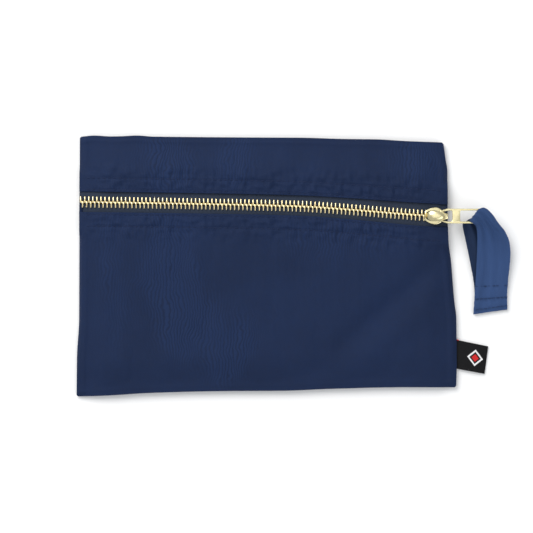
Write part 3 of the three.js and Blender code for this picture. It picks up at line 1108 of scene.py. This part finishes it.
RIBBON_LINES = (
    # left x, y, z and right x, y, z of lines across the ribbon, from the front layer's free end,
    # up and down through the puller's window, to the back layer's free end, in millimetres
    ((113.1, -26.2, 1.7), (131.7, -23.4, 1.7)),
    ((113.7, -16, 2.2), (131.5, -15.5, 2.2)),
    ((114.3, -6, 3.2), (132.1, -6, 3.2)),
    ((114.7, 4, 4.8), (133, 4, 4.5)),
    ((114.8, 12, 7.0), (132.6, 12, 6.2)),
    ((114.6, 17.5, 9.2), (130.2, 18, 8.2)),
    ((113.9, 21.5, 11.2), (126.2, 23.0, 10.2)),
    ((112.4, 23.0, 12.0), (122.6, 28.2, 11.4)),
    ((111.2, 23.9, 12.1), (118.6, 31.6, 11.9)),
    ((110.4, 24.7, 11.5), (115.3, 31.3, 11.6)),
    ((110.3, 25.2, 9.6), (114.4, 30, 9.6)),
    ((110.2, 25.1, 8), (114.6, 29.7, 8)),
    ((108.6, 24.6, 7.3), (116.5, 27.9, 7.3)),
    ((106.8, 23.4, 6.7), (119, 24.9, 6.7)),
    ((107.3, 19.5, 5.6), (122, 20.5, 5.6)),
    ((108.3, 15.5, 4.6), (125, 16, 4.6)),
    ((110, 8, 3.2), (127.6, 8, 3.2)),
    ((111.7, 0, 2.1), (129.6, 0, 2.1)),
    ((113.2, -8, 1.3), (130.9, -8, 1.3)),
    ((113.8, -16, 0.9), (131.2, -16, 0.9)),
    ((113.2, -26, 0.75), (131.4, -23.6, 0.75)),
)


def through(points, share):
    """A smooth path through evenly spaced points, at shares from 0 to 1."""
    points = np.array(points)
    place = np.clip(share, 0, 1) * (len(points) - 1)
    i = np.clip(place.astype(int), 0, len(points) - 2)
    t = (place - i)[:, None]
    before = points[np.clip(i - 1, 0, None)]
    after = points[np.clip(i + 2, None, len(points) - 1)]
    start, end = points[i], points[i + 1]
    bend = 2 * before - 5 * start + 4 * end - after
    cubic = 3 * start - before - 3 * end + after
    return 0.5 * (2 * start + (end - before) * t + bend * t**2 + cubic * t**3)


def ribbon_point(across, along):
    """A point on the middle of the ribbon, in metres."""
    settings = bpy.context.scene.strap_settings
    left = through([line[0] for line in RIBBON_LINES], along) * MM
    right = through([line[1] for line in RIBBON_LINES], along) * MM
    step = 0.002
    ahead = sum(
        sign * through([line[i] for line in RIBBON_LINES], along + sign * step)
        for sign in (1, -1)
        for i in (0, 1)
    )
    chord = right - left
    across = across + 0.007 * rough(along, across, 0.006, 3, 5.2) * np.abs(2 * across - 1) ** 3
    width = np.linalg.norm(chord, axis=1)
    normal = np.cross(ahead, chord)
    normal /= np.linalg.norm(normal, axis=1)[:, None]
    squeeze = np.clip(settings.width / width, 1, 3)
    turns = WHOLE_TURN * settings.pleats
    calm = 1 - 0.95 * hump(along - 0.475, 0.09)
    depth = width / turns * 1.3 * np.sqrt(np.clip(squeeze - 1, 0, 2)) * calm
    fold = depth * np.cos(turns * across + 0.6)
    crown = 0.35 * MM * np.sin(math.pi * across) * hump(along - 0.25, 0.2)
    points = left + chord * across[:, None]
    return points + normal * (fold + crown)[:, None]


def make_strap():
    """The doubled ribbon: two flat layers, bunched where they pass through the puller."""
    settings = bpy.context.scene.strap_settings
    bm = grid(48, 260, ribbon_point, settings.ribbon)
    piece = make_piece("ribbon_strap", bm, "navy_ribbon", ["strap_loop", "strap_tail"])
    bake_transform(piece)


def make_strap_sewing():
    """Rows of sewing that close the strap's free end."""
    whole = bmesh.new()
    for row_y, lean in ((-10.6, 0.03), (-17.3, 0.07), (-22.6, 0.14)):

        def line(share):
            x = 113.9 + 17.9 * np.clip(share, 0, 1)
            return np.column_stack([x, row_y + lean * (x - 122.5), 0 * x + 2.45]) * MM

        merge_into(whole, stitch_row(line, 8, 0.45 * MM, 0.35 * MM))
    piece = make_piece("strap_sewing", whole, "navy_thread", ["strap_stitch"], "ribbon_thread")
    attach(piece, "strap")


LABEL_CORNERS = ((103.8, -40.1), (121.3, -43.7), (119.3, -58.7), (103.9, -55.9))


def label_point(across, along):
    """A point on the label's folded strip: along runs out over the top and back beneath."""
    root_top, tip_top, tip_low, root_low = np.array(LABEL_CORNERS)
    out = 1 - np.abs(2 * along - 1)
    upper = root_top + np.outer(out, tip_top - root_top)
    lower = root_low + np.outer(out, tip_low - root_low)
    flat = upper + (lower - upper) * across[:, None]
    curl = 0.7 * np.sin(math.pi * out) * across - 0.1 * out
    gap = 0.42 * rounded(1 - out, 0.06)
    z = 0.8 + curl + np.where(along < 0.5, gap, -gap)
    return np.column_stack([flat, z]) * MM


def make_label():
    """The woven label folded into the side seam, with a plain diamond motif."""
    settings = bpy.context.scene.strap_settings
    bm = grid(18, 60, label_point, settings.label)
    piece = make_piece("woven_side_label", bm, "woven_label", ["label"])
    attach(piece, "label")
    for name, size, finish in (("outline", 9.0, "white_thread"), ("centre", 4.2, "red_thread")):
        bm = bmesh.new()
        bmesh.ops.create_circle(bm, segments=4, radius=size / 2, cap_ends=name == "centre")
        if name == "outline":
            inner = made_verts(bmesh.ops.extrude_edge_only(bm, edges=bm.edges[:]))
            bmesh.ops.scale(bm, vec=(0.72, 0.72, 1), verts=inner)
        bmesh.ops.subdivide_edges(bm, edges=bm.edges[:], cuts=5, use_grid_fill=True)
        bmesh.ops.triangulate(bm, faces=[face for face in bm.faces if len(face.verts) > 4])
        thickened(bm, 0.25)
        places = np.array([vert.co for vert in bm.verts])
        on_label = label_point(0.5 - places[:, 1] / 15.2, 0.31 + places[:, 0] / 34)
        for vert, point, place in zip(bm.verts, on_label, places):
            vert.co = (point[0], point[1], point[2] + (place[2] + 0.06) * MM)
        motif = make_piece(f"label_motif_{name}", bm, "woven_label", finish=finish)
        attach(motif, "label")


def make_tack_thread():
    """The short red thread that tacks the label's upper corner to the seam."""

    def line(share):
        return np.column_stack([102.6 + 2.6 * share, -39.3 - 1.2 * share, 0 * share + 1.7]) * MM

    bm = stitch_row(line, 2, 0.5 * MM, 0.4 * MM, 0.1)
    piece = make_piece("red_tack_thread", bm, "red_thread", ["label_tack_thread"])
    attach(piece, "bag")


# ---- The stage ----


def add_light(name, power, size, location, tone):
    """A large soft area light that faces the bag."""
    data = bpy.data.lights.new(name, "AREA")
    data.shape, data.size = "DISK", size
    data.energy, data.color = power, tone
    light = bpy.data.objects.new(name, data)
    light.location = location
    light.rotation_mode = "QUATERNION"
    light.rotation_quaternion = (-Vector(location)).to_track_quat("-Z", "Y")
    bpy.context.scene.collection.objects.link(light)


def make_stage():
    """The floor, the lights and a camera that looks straight down."""
    scene = bpy.context.scene
    settings = scene.stage_settings
    bm = bmesh.new()
    bmesh.ops.create_grid(bm, x_segments=1, y_segments=1, size=3)
    bmesh.ops.translate(bm, vec=(0, 0, -0.2 * MM), verts=bm.verts[:])
    mesh = bpy.data.meshes.new("floor")
    bm.to_mesh(mesh)
    bm.free()
    material, _, shader = new_material("pale_floor", Roughness=0.9)
    shader.inputs["Base Color"].default_value = (*scene.finish_settings.floor, 1)
    mesh.materials.append(material)
    floor = bpy.data.objects.new("floor", mesh)
    scene.collection.objects.link(floor)
    world = bpy.data.worlds.new("studio")
    world.use_nodes = True
    sky = world.node_tree.nodes["Background"].inputs
    sky["Color"].default_value = (0.95, 0.97, 1, 1)
    sky["Strength"].default_value = 0.52
    scene.world = world
    add_light("key", settings.key_power, 1.1, (-0.55, 0.75, 0.9), (1, 0.99, 0.97))
    add_light("fill", settings.fill_power, 1.2, (0.8, -0.7, 1.1), (0.96, 0.98, 1))
    add_light("overhead", settings.overhead_power, 0.9, (-0.05, 0.1, 1.45), (1, 1, 1))
    data = bpy.data.cameras.new("camera")
    data.sensor_width = 36
    data.lens = data.sensor_width * settings.distance / settings.view_width
    camera = bpy.data.objects.new("camera", data)
    camera.location = (0, 0, settings.distance + CHAIN_LEVEL)
    scene.collection.objects.link(camera)
    scene.camera = camera
    scene.view_settings.view_transform = "Standard"


# ---- The add-on ----


class BAG_OT_stage(bpy.types.Operator):
    """Make the floor, the lights and the camera"""

    bl_idname = "bag.stage"
    bl_label = "Stage"

    def execute(self, context):
        make_stage()
        return {"FINISHED"}


class BAG_OT_back(bpy.types.Operator):
    """Make the back cloth"""

    bl_idname = "bag.back"
    bl_label = "Back cloth"

    def execute(self, context):
        make_back_cloth()
        return {"FINISHED"}


class BAG_OT_seams(bpy.types.Operator):
    """Make the bound side seams and their sewing"""

    bl_idname = "bag.seams"
    bl_label = "Side seams"

    def execute(self, context):
        make_seam_strips()
        return {"FINISHED"}


class BAG_OT_front(bpy.types.Operator):
    """Make the front cloth above and below the zip"""

    bl_idname = "bag.front"
    bl_label = "Front cloth"

    def execute(self, context):
        for name in LIPS:
            make_front_cloth(name)
        return {"FINISHED"}


class BAG_OT_stitching(bpy.types.Operator):
    """Make the rows of top stitching beside the zip"""

    bl_idname = "bag.stitching"
    bl_label = "Top stitching"

    def execute(self, context):
        make_top_stitching()
        return {"FINISHED"}


class BAG_OT_tapes(bpy.types.Operator):
    """Make the zip's tapes"""

    bl_idname = "bag.tapes"
    bl_label = "Zip tapes"

    def execute(self, context):
        make_tapes()
        return {"FINISHED"}


class BAG_OT_teeth(bpy.types.Operator):
    """Make the zip's teeth"""

    bl_idname = "bag.teeth"
    bl_label = "Zip teeth"

    def execute(self, context):
        make_teeth()
        return {"FINISHED"}


class BAG_OT_slider(bpy.types.Operator):
    """Make the slider, its crown and its lock spring"""

    bl_idname = "bag.slider"
    bl_label = "Slider"

    def execute(self, context):
        make_slider()
        make_crown()
        make_lock_spring()
        return {"FINISHED"}


class BAG_OT_puller(bpy.types.Operator):
    """Make the flat puller"""

    bl_idname = "bag.puller"
    bl_label = "Puller"

    def execute(self, context):
        make_puller()
        return {"FINISHED"}


class BAG_OT_strap(bpy.types.Operator):
    """Make the ribbon strap"""

    bl_idname = "bag.strap"
    bl_label = "Strap"

    def execute(self, context):
        make_strap()
        return {"FINISHED"}


class BAG_OT_strap_sewing(bpy.types.Operator):
    """Make the sewing that closes the strap"""

    bl_idname = "bag.strap_sewing"
    bl_label = "Strap sewing"

    def execute(self, context):
        make_strap_sewing()
        return {"FINISHED"}


class BAG_OT_label(bpy.types.Operator):
    """Make the side label and its tack thread"""

    bl_idname = "bag.label"
    bl_label = "Label"

    def execute(self, context):
        make_label()
        make_tack_thread()
        return {"FINISHED"}


SETTINGS = {
    "cloth_settings": ClothSettings,
    "zip_settings": ZipSettings,
    "strap_settings": StrapSettings,
    "finish_settings": FinishSettings,
    "stage_settings": StageSettings,
}
OPERATORS = (
    BAG_OT_stage,
    BAG_OT_back,
    BAG_OT_seams,
    BAG_OT_front,
    BAG_OT_stitching,
    BAG_OT_tapes,
    BAG_OT_teeth,
    BAG_OT_slider,
    BAG_OT_puller,
    BAG_OT_strap,
    BAG_OT_strap_sewing,
    BAG_OT_label,
)


class BAG_PT_panel(bpy.types.Panel):
    """Lists the bag's pieces and settings"""

    bl_idname = "BAG_PT_panel"
    bl_label = "Cash deposit bag"
    bl_space_type = "VIEW_3D"
    bl_region_type = "UI"
    bl_category = "Deposit bag"

    def draw(self, context):
        for operator in OPERATORS:
            self.layout.operator(operator.bl_idname)
        for name in SETTINGS:
            settings = getattr(context.scene, name)
            box = self.layout.box()
            for prop in settings.__annotations__:
                box.prop(settings, prop)


def register():
    for settings in SETTINGS.values():
        bpy.utils.register_class(settings)
    for name, settings in SETTINGS.items():
        setattr(bpy.types.Scene, name, PointerProperty(type=settings))
    for kind in (*OPERATORS, BAG_PT_panel):
        bpy.utils.register_class(kind)


def unregister():
    for kind in (BAG_PT_panel, *reversed(OPERATORS)):
        bpy.utils.unregister_class(kind)
    for name in SETTINGS:
        delattr(bpy.types.Scene, name)
    for settings in reversed(SETTINGS.values()):
        bpy.utils.unregister_class(settings)


def main():
    """Builds the whole bag."""
    register()
    bpy.ops.bag.stage()
    bpy.ops.bag.back()
    bpy.ops.bag.seams()
    bpy.ops.bag.front()
    bpy.ops.bag.stitching()
    bpy.ops.bag.tapes()
    bpy.ops.bag.teeth()
    bpy.ops.bag.slider()
    bpy.ops.bag.puller()
    bpy.ops.bag.strap()
    bpy.ops.bag.strap_sewing()
    bpy.ops.bag.label()


if __name__ == "__main__":
    main()
